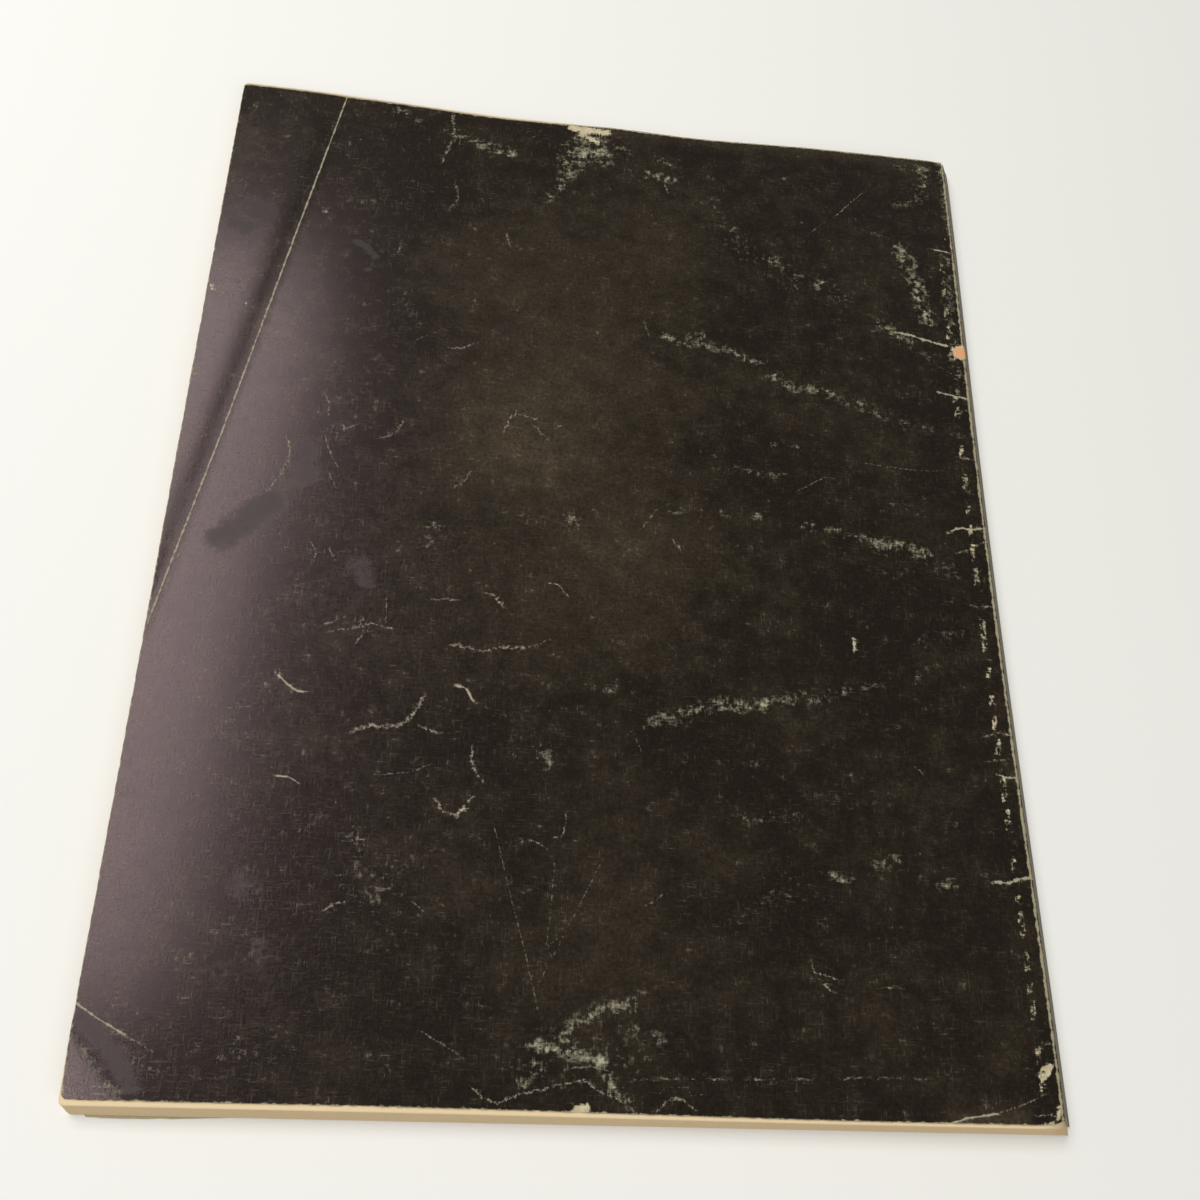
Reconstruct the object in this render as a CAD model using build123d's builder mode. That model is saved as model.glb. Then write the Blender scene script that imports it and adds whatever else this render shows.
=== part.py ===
"""Large-format paperback book, closed and lying on its front cover, with the spine at +X and the tail at -Y.

The wrap-round cover is one sheet of card. It is scored beside the spine on both sides, so it is modelled as
three pieces that meet at the scores: the glued wrap, which holds the spine, and the two covers that open.
The whole book leans: each layer is a little nearer the spine and the tail than the one above it.
"""

import math
import os

from build123d import *

# Sizes in millimetres
cover_width = 216.0  # fore-edge to the outside of the spine
cover_height = 279.4  # tail to head
card_thickness = 0.3
block_thickness = 5.4  # all the pages together
glue_thickness = 0.4
score_to_spine = 8.0  # glued strip between each score and the spine
spine_lean = 3.8  # how far the front cover lies nearer the spine than the back cover
tail_lean = 2.5  # how far the front cover lies nearer the tail than the back cover
page_tail_overhang = 1.4  # the cover has worn back from the pages at the tail
page_head_overhang = 0.4
page_fore_edge_inset = 0.3
glue_end_setback = 1.5
cover_corner_radius = 1.6
page_corner_radius = 1.0
fold_radius = 0.25  # outside of the two folds along the spine

# Heights
book_thickness = block_thickness + 2 * card_thickness
block_bottom = card_thickness
block_top = block_bottom + block_thickness

# Plan. The origin is the centre of the book's footprint, on the surface that it lies on.
page_height = cover_height + page_tail_overhang + page_head_overhang
pages_reach_down = page_tail_overhang + tail_lean * (1 - block_bottom / book_thickness)
pages_reach_up = page_head_overhang - tail_lean * (1 - block_top / book_thickness)
lowest = max(pages_reach_down, tail_lean)
highest = max(pages_reach_up, 0)
front_fold_angle = math.atan2(book_thickness, spine_lean)
fold_draws_in = fold_radius * (1 / math.tan(front_fold_angle / 2) - 1)  # the sharper fold's round corner
back_spine_x = (cover_width - spine_lean + fold_draws_in) / 2
back_tail_y = (lowest - highest - cover_height) / 2
lean_direction = (-spine_lean, tail_lean, book_thickness)  # from the front cover up to the back cover


def lean_at(height):
    """Shift of a layer at this height from the back cover's outer face, along X and Y."""
    share = 1 - height / book_thickness
    return spine_lean * share, -tail_lean * share


def leaning_height(rise):
    """Length along the lean that gains this much height."""
    return Vector(*lean_direction).length * rise / book_thickness


def back_cover_score_x():
    return back_spine_x - score_to_spine


def front_cover_score_x():
    return back_spine_x + spine_lean - score_to_spine


def cover_panel(score_x, spine_x, tail_y, bottom_z):
    """One opening cover: a flat sheet from its fore-edge to its score, its outer corners worn round."""
    fore_x = spine_x - cover_width
    with BuildPart() as panel:
        with BuildSketch(Plane.XY.offset(bottom_z)):
            with Locations((fore_x, tail_y)):
                Rectangle(score_x - fore_x, cover_height, align=(Align.MIN, Align.MIN))
        extrude(amount=card_thickness)
        fillet(panel.edges().filter_by(Axis.Z).group_by(Axis.X)[0], cover_corner_radius)
    return panel


def end_plane(middle_y):
    """Leaning plane that trims one end of the wrap, facing the tail."""
    across = Vector(1, 0, 0)
    return Plane(
        origin=(0, middle_y, book_thickness / 2),
        x_dir=across,
        z_dir=across.cross(Vector(0, tail_lean, book_thickness)),
    )


os.makedirs("parts", exist_ok=True)

# Pages: one block, leaning with the book
lean_x, lean_y = lean_at(block_bottom)
with BuildPart() as page_block:
    with BuildSketch(Plane.XY.offset(block_bottom)):
        spine_face_x = back_spine_x + lean_x - card_thickness - glue_thickness
        fore_face_x = back_spine_x + lean_x - cover_width + page_fore_edge_inset
        with Locations((spine_face_x, back_tail_y + lean_y - page_tail_overhang)):
            Rectangle(spine_face_x - fore_face_x, page_height, align=(Align.MAX, Align.MIN))
    extrude(amount=leaning_height(block_thickness), dir=lean_direction)
    corner_edges = page_block.edges().filter_by(GeomType.LINE).filter_by(
        lambda edge: edge.length < 2 * book_thickness
    )
    fillet(corner_edges.group_by(Axis.X)[0], page_corner_radius)
page_block.part.label = "page_block"

# Glue film between the pages and the spine of the wrap
with BuildPart() as spine_glue:
    with BuildSketch(Plane.XY.offset(block_bottom)):
        with Locations((back_spine_x + lean_x - card_thickness, back_tail_y + lean_y + glue_end_setback)):
            Rectangle(
                glue_thickness,
                cover_height - 2 * glue_end_setback,
                align=(Align.MAX, Align.MIN),
            )
    extrude(amount=leaning_height(block_thickness), dir=lean_direction)
spine_glue.part.label = "spine_glue"

# Wrap: the spine and the two strips glued to the first and last page
front_spine_x = back_spine_x + spine_lean
middle_tail_y = back_tail_y - tail_lean / 2
with BuildPart() as cover_wrap:
    with BuildSketch(Plane.XZ):
        with BuildLine():
            outside = Polyline(
                (front_cover_score_x(), 0),
                (front_spine_x, 0),
                (back_spine_x, book_thickness),
                (back_cover_score_x(), book_thickness),
            )
            inside = Polyline(
                (front_cover_score_x(), block_bottom),
                (back_spine_x + lean_at(block_bottom)[0] - card_thickness, block_bottom),
                (back_spine_x + lean_at(block_top)[0] - card_thickness, block_top),
                (back_cover_score_x(), block_top),
            )
            Line(outside @ 0, inside @ 0)
            Line(outside @ 1, inside @ 1)
        make_face()
    extrude(amount=cover_height, both=True)
    split(bisect_by=end_plane(middle_tail_y), keep=Keep.BOTTOM)
    split(bisect_by=end_plane(middle_tail_y + cover_height), keep=Keep.TOP)
    lengthwise_edges = cover_wrap.edges().filter_by(Axis.Y)
    front_fold = lengthwise_edges.group_by(Axis.Z)[0].sort_by(Axis.X)[-1]
    back_fold = lengthwise_edges.group_by(Axis.Z)[-1].sort_by(Axis.X)[-1]
    fillet([front_fold, back_fold], fold_radius)
cover_wrap.part.label = "cover_wrap"

# The two covers that open
back_cover = cover_panel(back_cover_score_x(), back_spine_x, back_tail_y, block_top)
back_cover.part.label = "back_cover"
front_cover = cover_panel(front_cover_score_x(), front_spine_x, back_tail_y - tail_lean, 0)
front_cover.part.label = "front_cover"

for piece in (page_block, spine_glue, cover_wrap, back_cover, front_cover):
    export_step(piece.part, f"parts/{piece.part.label}.step")

print("back cover score at x", back_cover_score_x(), "front cover score at x", front_cover_score_x())
print("book thickness", book_thickness, "back cover tail y", back_tail_y)
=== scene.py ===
import math

import bpy
import numpy as np
from mathutils import Euler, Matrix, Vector


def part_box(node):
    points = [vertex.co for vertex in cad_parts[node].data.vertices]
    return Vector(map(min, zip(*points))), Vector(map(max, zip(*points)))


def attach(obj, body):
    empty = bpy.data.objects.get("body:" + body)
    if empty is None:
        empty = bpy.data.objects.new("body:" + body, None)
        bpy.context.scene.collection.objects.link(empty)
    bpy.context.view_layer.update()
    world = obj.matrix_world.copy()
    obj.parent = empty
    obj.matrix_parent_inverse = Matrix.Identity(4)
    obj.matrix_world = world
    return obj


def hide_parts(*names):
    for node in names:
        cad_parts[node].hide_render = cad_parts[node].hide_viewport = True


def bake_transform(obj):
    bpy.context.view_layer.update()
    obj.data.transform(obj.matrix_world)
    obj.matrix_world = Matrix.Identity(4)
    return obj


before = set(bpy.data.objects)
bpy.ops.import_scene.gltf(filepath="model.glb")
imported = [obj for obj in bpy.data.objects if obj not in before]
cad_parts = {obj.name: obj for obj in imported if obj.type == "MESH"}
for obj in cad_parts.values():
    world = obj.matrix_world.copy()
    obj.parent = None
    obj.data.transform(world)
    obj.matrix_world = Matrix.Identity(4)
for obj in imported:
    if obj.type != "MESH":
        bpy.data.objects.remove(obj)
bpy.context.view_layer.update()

mm = 0.001  # metres in one


# Sizes read from the frame, in mm
def boxInMm(node):
    low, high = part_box(node)
    return low / mm, high / mm


backLow, backHigh = boxInMm("back_cover")
frontLow, frontHigh = boxInMm("front_cover")
glueLow, glueHigh = boxInMm("spine_glue")

book = {
    "gluedStrip": 8.0,  # from each score to the spine fold
    "card": 0.28,  # thickness of the cover card
    "foldRadius": 0.9,  # worn round where the back cover meets the spine
    "footRadius": 0.45,  # sharper fold where the spine meets the front cover
    "spineBow": 1.2,  # how far the spine bows in at mid height
    "air": 0.02,  # between pieces that lie on each other
    "headroom": 0.02,  # below the top of the CAD book
    "underLeaves": 0.09,  # room for the front cover's gentle waves
    "hingeBend": 3.0,  # width of card at the hinge, where a cover opens
}
sheetHeight = backHigh.y - backLow.y
backSpineX = backHigh.x + book["gluedStrip"]
frontSpineX = frontHigh.x + book["gluedStrip"]
sheetWidth = backSpineX - backLow.x
bookTop = backHigh.z
spineSlope = math.atan2(bookTop, frontSpineX - backSpineX)  # of the leaning spine, from the table


def smooth(low, high, x):
    t = np.clip((x - low) / (high - low), 0, 1)
    return t * t * (3 - 2 * t)


def bump(x, middle, reach):
    return np.exp(-(((x - middle) / reach) ** 2))


def waves(x, y, wavelength, seed):
    # Gentle rolling field, about -1 to 1, made of a few crossed sine waves
    rng = np.random.default_rng(seed)
    total = np.zeros_like(x, dtype=float)
    for _ in range(6):
        heading, phase = rng.uniform(0, 2 * math.pi, 2)
        length = wavelength * rng.uniform(0.6, 1.5)
        along = (x * math.cos(heading) + y * math.sin(heading)) / length
        total += np.sin(2 * math.pi * along + phase)
    return total / 3


def lineSide(x, y, start, end):
    # Distance from an endless line, positive on its left as one goes from start to end
    dx, dy = end[0] - start[0], end[1] - start[1]
    return ((y - start[1]) * dx - (x - start[0]) * dy) / math.hypot(dx, dy)


def toPolyline(x, y, points):
    # Distance to a line of points, the offset to its left, and how far past its ends, in mm
    if len(points) == 1:
        points = [points[0], (points[0][0] + 0.2, points[0][1])]
    nearest = np.full_like(x, 1e9)
    offset = np.zeros_like(x)
    past = np.full_like(x, 1e9)
    for start, end in zip(points, points[1:]):
        dx, dy = end[0] - start[0], end[1] - start[1]
        length = math.hypot(dx, dy)
        along = ((x - start[0]) * dx + (y - start[1]) * dy) / length
        aside = lineSide(x, y, start, end)
        beyond = np.maximum(np.maximum(-along, along - length), 0)
        distance = np.hypot(aside, beyond)
        closer = distance < nearest
        nearest = np.where(closer, distance, nearest)
        offset = np.where(closer, aside, offset)
        past = np.where(closer, beyond, past)
    return nearest, offset, past


def closedSheet(rows, columns, firstOnTop):
    # Faces of a grid of points and a second grid laid under or over it, joined round the edge
    count = rows * columns
    index = np.arange(count).reshape(rows, columns)
    quads = np.stack([index[:-1, :-1], index[1:, :-1], index[1:, 1:], index[:-1, 1:]], -1)
    quads = quads.reshape(-1, 4)
    ring = np.concatenate([index[:-1, 0], index[-1, :-1], index[:0:-1, -1], index[0, :0:-1]])
    following = np.roll(ring, -1)
    rim = np.stack([ring, ring + count, following + count, following], -1)
    if firstOnTop:
        return quads, quads[:, ::-1] + count, rim
    return quads[:, ::-1], quads + count, rim[:, ::-1]


def roundForeCorners(s, v, height, radius):
    # Pulls the two square corners of a grid at the fore-edge in to a round
    for atHead in (False, True):
        b = (height - v) if atHead else v
        fromA, fromB = radius - s, radius - b
        inCorner = (fromA > 0) & (fromB > 0)
        ratio = np.maximum(fromA, fromB) / np.maximum(np.hypot(fromA, fromB), 1e-9)
        s = np.where(inCorner, radius - fromA * ratio, s)
        b = np.where(inCorner, radius - fromB * ratio, b)
        v = (height - b) if atHead else b
    return s, v


def newMesh(name, points, faces):
    mesh = bpy.data.meshes.new(name)
    mesh.from_pydata(points, [], faces)
    return mesh


def addPiece(name, mesh):
    piece = bpy.data.objects.new(name, mesh)
    bpy.context.scene.collection.objects.link(piece)
    return piece


print("frame loaded")


# Shader and geometry node tools
def setInput(tree, node, key, value):
    socket = node.inputs[key]
    if isinstance(value, bpy.types.NodeSocket):
        tree.links.new(value, socket)
    else:
        socket.default_value = value


def addNode(tree, kind, inputs, **settings):
    node = tree.nodes.new(kind)
    for key, value in settings.items():
        setattr(node, key, value)
    for key, value in inputs.items():
        setInput(tree, node, key, value)
    return node


def calc(tree, operation, a, b=0.0, c=0.0, clamp=False):
    node = addNode(tree, "ShaderNodeMath", {0: a, 1: b, 2: c}, operation=operation, use_clamp=clamp)
    return node.outputs[0]


def ramp(tree, value, low, high, toLow=0.0, toHigh=1.0):
    inputs = {"Value": value, "From Min": low, "From Max": high, "To Min": toLow, "To Max": toHigh}
    return addNode(tree, "ShaderNodeMapRange", inputs, interpolation_type="SMOOTHSTEP").outputs[0]


def mixColour(tree, factor, a, b, blend="MIX"):
    inputs = {0: factor, 6: a, 7: b}
    return addNode(tree, "ShaderNodeMix", inputs, data_type="RGBA", blend_type=blend).outputs[2]


def noiseOf(tree, place, scale, detail=2.0, roughness=0.5):
    inputs = {"Vector": place, "Scale": scale, "Detail": detail, "Roughness": roughness}
    return addNode(tree, "ShaderNodeTexNoise", inputs).outputs[0]


def stretched(tree, place, along, across):
    inputs = {"Vector": place, "Scale": (along, across, 1.0)}
    return addNode(tree, "ShaderNodeMapping", inputs).outputs[0]


def attribute(tree, name):
    return addNode(tree, "ShaderNodeAttribute", {}, attribute_name=name)


def tone(red, green, blue):
    # A colour as it looks, 0 to 255, turned into linear light
    def linear(part):
        part = part / 255
        return part / 12.92 if part <= 0.04045 else ((part + 0.055) / 1.055) ** 2.4
    return (linear(red), linear(green), linear(blue), 1.0)


def newMaterial(name):
    material = bpy.data.materials.new(name)
    material.use_nodes = True
    tree = material.node_tree
    tree.nodes.clear()
    shader = tree.nodes.new("ShaderNodeBsdfPrincipled")
    output = tree.nodes.new("ShaderNodeOutputMaterial")
    tree.links.new(shader.outputs[0], output.inputs[0])
    return material, tree, shader


def scaled(tree, vector, factor):
    inputs = {0: vector, 3: factor}
    return addNode(tree, "ShaderNodeVectorMath", inputs, operation="SCALE").outputs[0]


def cardPlane(tree):
    # Place on the flat sheet in mm: along the width from the fore-edge, and up from the tail
    uv = addNode(tree, "ShaderNodeUVMap", {}, uv_map="cardPlane").outputs[0]
    return scaled(tree, uv, 1 / mm)


def bumped(tree, shader, height, distance, strength=1.0, under=None):
    inputs = {"Height": height, "Distance": distance * mm, "Strength": strength}
    if under is not None:
        inputs["Normal"] = under
    normal = addNode(tree, "ShaderNodeBump", inputs).outputs[0]
    setInput(tree, shader, "Normal", normal)
    return normal


# Wear on the back cover, with one patch of painted shade by the bent corner at the tail. Places are in mm
# on the flat sheet, from its corner at fore-edge and tail.
# Soft wear is (strength, reach, place, ...): a patch or band that fades out over its reach.
rubbed = [
    (0.95, 1.6, (69, 268), (73, 267), (80, 265.5)), (0.7, 1.2, (52, 273.5)),
    (0.7, 1.4, (45, 277), (48, 276)), (0.5, 1.8, (83, 273), (88, 274.5)),
    (1.0, 3.2, (99, 267), (108, 268)), (1.0, 2.2, (97, 260)), (0.8, 1.4, (96, 256), (92, 248)),
    (0.8, 1.2, (101, 261)), (0.9, 1.1, (110, 269), (107, 265.5)), (0.6, 1.0, (33, 261.5)),
    (0.5, 1.0, (16, 268.5), (17.5, 273)), (0.6, 1.0, (37.5, 240), (40, 239.5), (45.5, 241.5)),
    (0.9, 0.9, (28.5, 235)), (0.5, 1.2, (47.5, 263)), (0.5, 1.0, (48, 250), (52, 250)),
    (0.5, 1.2, (97, 226), (100, 225.5)), (0.6, 0.8, (103, 226.5)), (0.6, 0.8, (107.3, 226.5)),
    (0.9, 1.5, (122, 262), (126, 261.5), (129, 261)), (0.8, 1.1, (124, 269.5), (128.5, 267.5)),
    (0.8, 0.8, (140, 264)), (0.7, 0.7, (132, 263)), (0.7, 0.7, (138, 253)),
    (0.6, 1.4, (141, 256), (143, 251)), (0.8, 0.6, (116, 262)),
    (0.6, 0.9, (123, 248), (123.5, 246)),
    (0.5, 4.0, (143, 247), (148, 241), (152, 237), (158, 233), (166, 229), (174, 226), (180, 222)),
    (0.9, 1.0, (147, 244)), (0.9, 1.0, (150, 240)), (0.8, 1.2, (157, 232), (161, 234)),
    (1.0, 1.2, (173, 226)), (0.6, 2.2, (163, 226), (168, 224)), (0.7, 1.1, (176.5, 257)),
    (0.5, 1.2, (185, 252)), (0.8, 0.8, (163.5, 265.5)), (0.5, 1.2, (172, 263)),
    (1.0, 2.0, (199, 242), (201, 239), (203, 231), (204, 225), (205.5, 217)),
    (0.5, 3.0, (199, 242), (203, 231), (205, 214)),
    (0.6, 1.2, (190, 248), (194, 246.5), (198, 246.5)),
    (0.9, 1.7, (209, 276), (208, 270), (207.5, 264)), (0.7, 1.5, (206, 262), (199, 260)),
    (0.6, 2.2, (200, 277), (205, 274)), (0.8, 2.0, (191, 214), (195, 211), (200, 208)),
    (0.5, 2.5, (200, 207), (205, 204), (208, 201)), (0.45, 2.5, (185, 215), (187, 212)),
    (0.9, 1.2, (127, 202.5), (131, 201), (140, 200.3), (148, 198.5), (154, 197)),
    (0.7, 1.6, (134, 203), (138, 203.5)), (0.45, 1.6, (160, 205), (166, 202)),
    (1.0, 1.2, (157, 193), (160, 191), (165, 188.3), (169, 189)),
    (0.8, 1.4, (170, 188.5), (176, 187.6), (182, 185.5), (190, 182)),
    (0.6, 1.8, (190, 182), (197, 180), (204, 178)), (0.45, 1.8, (136, 164.5), (141, 163)),
    (0.7, 0.9, (146, 161.3), (150, 160.6), (160, 160)), (0.8, 0.9, (157, 169.3)),
    (0.9, 0.8, (163.7, 169.5)), (0.4, 1.5, (171, 153.5), (176, 154)),
    (0.45, 1.8, (186, 153.5), (200, 154.5)), (0.6, 1.3, (128, 146.5), (133, 147.5), (136, 146)),
    (0.6, 1.4, (142, 147)), (0.9, 1.2, (152, 147)), (0.8, 1.1, (165, 145.3)),
    (0.7, 1.4, (166, 145), (178, 143.5), (184, 142)),
    (0.95, 1.6, (184, 141), (192, 141), (198, 139)), (0.7, 1.7, (198, 138), (205, 134)),
    (0.4, 2.6, (140, 135), (150, 138)), (0.5, 1.2, (162, 132.5)),
    (0.45, 1.6, (183, 134), (190, 133)), (0.6, 1.6, (66.5, 137), (65, 131)),
    (0.8, 1.8, (101.5, 142), (102, 140)), (0.5, 1.5, (88, 141), (95, 140)),
    (0.5, 1.2, (27, 136), (28, 131)), (0.35, 3.0, (45, 185), (43, 172)),
    (0.6, 1.0, (42, 204), (46, 204)), (0.8, 1.4, (96, 79), (98, 76)),
    (0.35, 4.0, (82, 88), (96, 86)), (1.0, 0.9, (112, 95), (114, 96)),
    (0.8, 1.5, (123, 88), (130, 89.5), (137, 92)), (1.0, 1.3, (137, 93), (144, 93), (152, 94)),
    (0.7, 1.6, (154, 95), (168, 97)), (0.6, 1.3, (168, 97), (174, 99.5), (184, 100.8)),
    (0.9, 0.9, (192, 103)), (0.5, 1.4, (193, 106), (198, 107)), (0.5, 2.6, (195, 114), (204, 117)),
    (0.45, 1.6, (202, 112), (203, 108)), (0.5, 1.0, (115, 103), (119, 102)),
    (0.4, 1.6, (112, 108), (126, 108)), (0.7, 0.9, (143, 65), (150, 65)),
    (0.6, 1.2, (152, 66), (161, 65.5)), (0.5, 1.5, (196, 64), (198, 66)),
    (0.5, 2.6, (150, 46), (160, 49)), (1.0, 0.9, (165.5, 52), (170, 51.4)),
    (0.8, 1.7, (177, 55), (182, 56)), (0.9, 1.1, (193, 51), (196, 51.5)),
    (0.4, 3.0, (140, 40), (150, 44), (158, 46)), (0.7, 0.9, (188, 58)),
    (0.35, 2.5, (172, 38), (184, 40)), (0.4, 2.2, (196, 27), (199, 26)),
    (0.35, 2.5, (186, 20), (187, 14)), (0.6, 1.4, (161, 29), (167, 27)), (0.3, 4.0, (55, 57)),
    (0.75, 1.4, (53, 57), (56, 54)), (0.55, 4.5, (57, 47), (60, 44)),
    (0.5, 1.6, (61, 51), (70, 51)), (0.4, 2.2, (88, 40)), (0.5, 2.0, (100, 47)),
    (0.5, 1.4, (31, 9), (45, 9.5)), (0.6, 1.0, (12, 8), (18, 6.5)), (0.5, 1.0, (64, 32)),
    (0.5, 1.0, (52, 33)), (0.45, 1.2, (62, 20), (67, 20)), (0.4, 2.5, (80, 24), (90, 17)),
    (1.15, 1.0, (96.5, 13.4), (101, 12.6), (106, 11.6), (112, 10.4)),
    (1.1, 0.9, (110, 12), (112, 8), (114, 5), (117, 2.6)), (0.8, 1.2, (93, 8), (95, 5.5)),
    (0.7, 1.3, (97, 10), (99, 7)), (0.9, 0.7, (0.6, 12.4), (5, 7.5), (9, 3), (12.6, 0.4)),
    (0.9, 1.6, (100, 273.5), (108, 273)), (0.8, 2.0, (102, 270), (96, 263)),
    (0.7, 1.2, (112, 272), (116, 270)), (0.9, 1.3, (102, 14), (106, 18), (111, 20.5), (118, 22)),
    (0.8, 0.9, (116, 17), (120, 16.5), (125, 15)), (0.8, 1.2, (93, 6), (97, 8), (99, 7)),
    (0.5, 5.0, (100, 12), (118, 14)), (0.5, 1.6, (119, 9), (121, 11)),
    (0.45, 0.8, (150, 7), (153, 5)), (0.35, 3.5, (200, 15), (209, 14)), (0.6, 1.0, (145, 14.5)),
    (0.25, 9.0, (60, 120), (70, 130)), (0.25, 10.0, (55, 45), (95, 30)),
    (0.3, 8.0, (105, 270), (140, 250)), (0.28, 9.0, (160, 225), (195, 215)),
    (0.22, 14.0, (120, 100), (150, 60)), (0.25, 6.0, (3, 250)),
    (0.3, 1.8, (110, 278), (150, 277.5), (214, 278)), (0.2, 10.0, (140, 150), (200, 150)),
    (0.7, 1.6, (212.8, 185), (213.2, 244)), (0.5, 1.4, (212.2, 130), (212.6, 185)),
    (0.4, 1.3, (212, 20), (212, 125)), (0.8, 1.0, (214.8, 279), (215, 250)),
]
# Bare board showing, cream to tan
bared = [
    (1.0, 2.0, (98, 278), (109, 277)), (0.85, 2.1, (101, 275.5), (106, 273)),
    (0.5, 1.6, (105, 269.5)), (0.8, 0.8, (60, 259.5)), (0.9, 0.8, (2, 203.5), (1, 205)),
    (0.85, 0.9, (10.7, 200.3)), (0.8, 0.7, (1, 176)), (0.9, 0.8, (98, 169.6)),
    (0.7, 1.2, (196, 139.6), (198.5, 138.5)), (0.7, 0.5, (49.7, 98.3)),
    (0.6, 0.9, (62, 83), (65, 86)), (0.55, 0.8, (98, 12.8), (101, 12.4), (106, 11.4), (111, 10.4)),
    (0.5, 0.9, (111, 9), (112, 6), (114, 4.2)), (1.0, 1.5, (106, 0.5), (108.5, 0.9)),
    (0.6, 0.6, (103, 0.3)), (0.7, 1.0, (209, 208.5), (213, 207.5)), (1.8, 2.4, (214.6, 206.2)),
    (0.7, 1.2, (211, 198.5), (213.5, 197.6)), (0.6, 1.3, (213.5, 248)), (0.5, 1.0, (212, 235)),
    (0.6, 0.8, (211.5, 218), (211.3, 212)), (0.8, 1.0, (211.2, 163.5)), (0.7, 1.2, (212, 177)),
    (0.6, 0.6, (151.5, 30.5), (155, 30.4)), (1.0, 1.3, (212.3, 10), (214, 12)),
    (0.8, 1.2, (215.2, 4), (214.5, 1)), (0.8, 1.0, (213.5, 0.5), (211, -0.2)),
    (0.9, 0.6, (175.8, 113.3), (176.6, 111.5), (176.2, 110)), (0.7, 0.8, (0.3, 3), (0.3, 0.3)),
    (0.75, 0.7, (77, 62.3), (79, 64)),
]
# Dull, dark smudges, and one painted shade: the dark band between the crease and the bent corner's edge
# at the tail
darkSmudgesAndShade = [
    (0.9, 4.2, (9, 233), (12, 232)), (0.6, 4.0, (4.5, 227), (8, 226)),
    (0.9, 1.1, (38, 225), (41, 223.5), (44, 220)), (0.8, 0.9, (42, 215.5)),
    (0.75, 4.6, (14, 129), (19, 134), (25, 140)), (0.55, 4.5, (32, 157), (33, 148)),
    (0.5, 4.5, (50, 119), (49, 124)), (0.5, 5.0, (30, 44)), (0.35, 5.5, (37, 30)),
    # The last mark on the next line is painted shade, not a smudge: it darkens the band between the
    # corner crease and the bent corner's edge.
    (0.4, 4.0, (4, 142), (2, 132)), (0.35, 4.0, (3, 64)), (0.6, 3.0, (2, 16), (9, 9), (14, 3)),
    (0.3, 2.5, (10, 152), (12, 150)), (0.3, 5.0, (80, 198), (87, 200)),
]
# Ink rubbed warmer and lighter
warmed = [
    (0.9, 26.0, (88, 165), (100, 185)), (0.6, 24.0, (85, 120), (120, 135)),
    (0.5, 22.0, (75, 215), (125, 225)), (0.3, 28.0, (110, 40)),
    (0.5, 2.6, (112, 278), (160, 278), (208, 278.4)), (0.35, 6.0, (203, 16)),
    (0.9, 2.2, (192, 0.2), (200, 0.8), (206, 1.8)), (0.4, 4.0, (2.5, 262), (2.5, 240)),
]
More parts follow.
